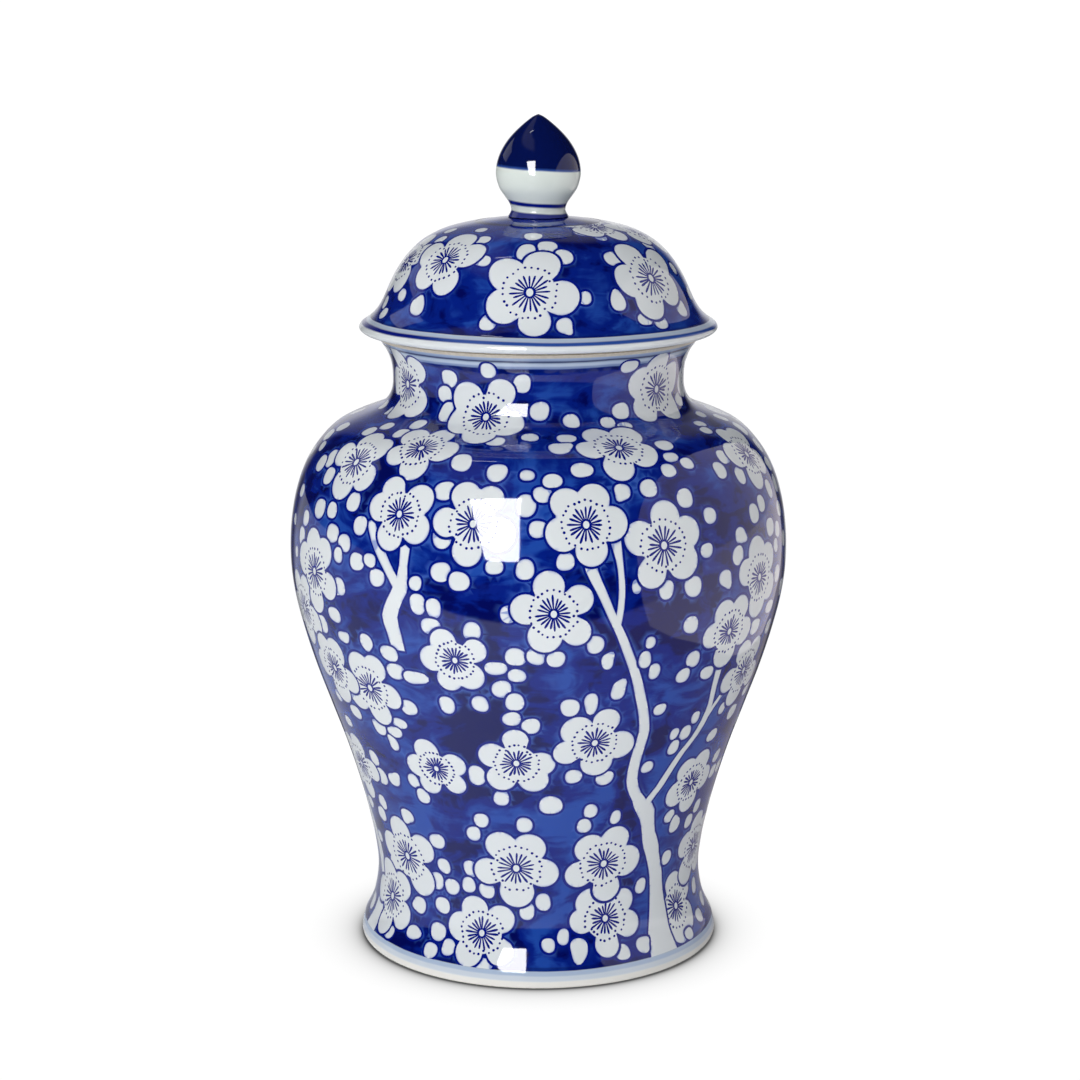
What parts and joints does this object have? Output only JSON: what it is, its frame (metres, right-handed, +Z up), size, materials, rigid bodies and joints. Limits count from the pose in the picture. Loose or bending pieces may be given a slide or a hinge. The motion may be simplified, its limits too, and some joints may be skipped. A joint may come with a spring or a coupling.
{
  "type": "ginger jar",
  "caption": "Baluster-shaped lidded porcelain jar with a short flared neck, a spreading foot and a domed lift-off lid with a bud knob.",
  "frame": {"origin": "centre of the foot ring's underside, where the jar stands", "axes": "+Z up along the axis the jar and its lid are turned about, -Y towards the painted front"},
  "size_m": [0.2148, 0.2148, 0.36],
  "materials": {
    "jar_glaze": "gloss",
    "lid_glaze": "gloss",
    "knob_glaze": "gloss",
    "bare_porcelain": "matte",
    "white_glaze": "gloss",
    "painted_line": "gloss"
  },
  "bodies": {
    "jar": {"jar_body": "jar_glaze"},
    "lid": {"lid_dome": "lid_glaze", "lid_flange": "bare_porcelain", "lid_knob": "knob_glaze"}
  },
  "joints": [
    {"name": "lid_lift", "type": "slide", "parent": "jar", "child": "lid", "axis": [0, 0, 1], "range_m": [0, 0.045]}
  ]
}
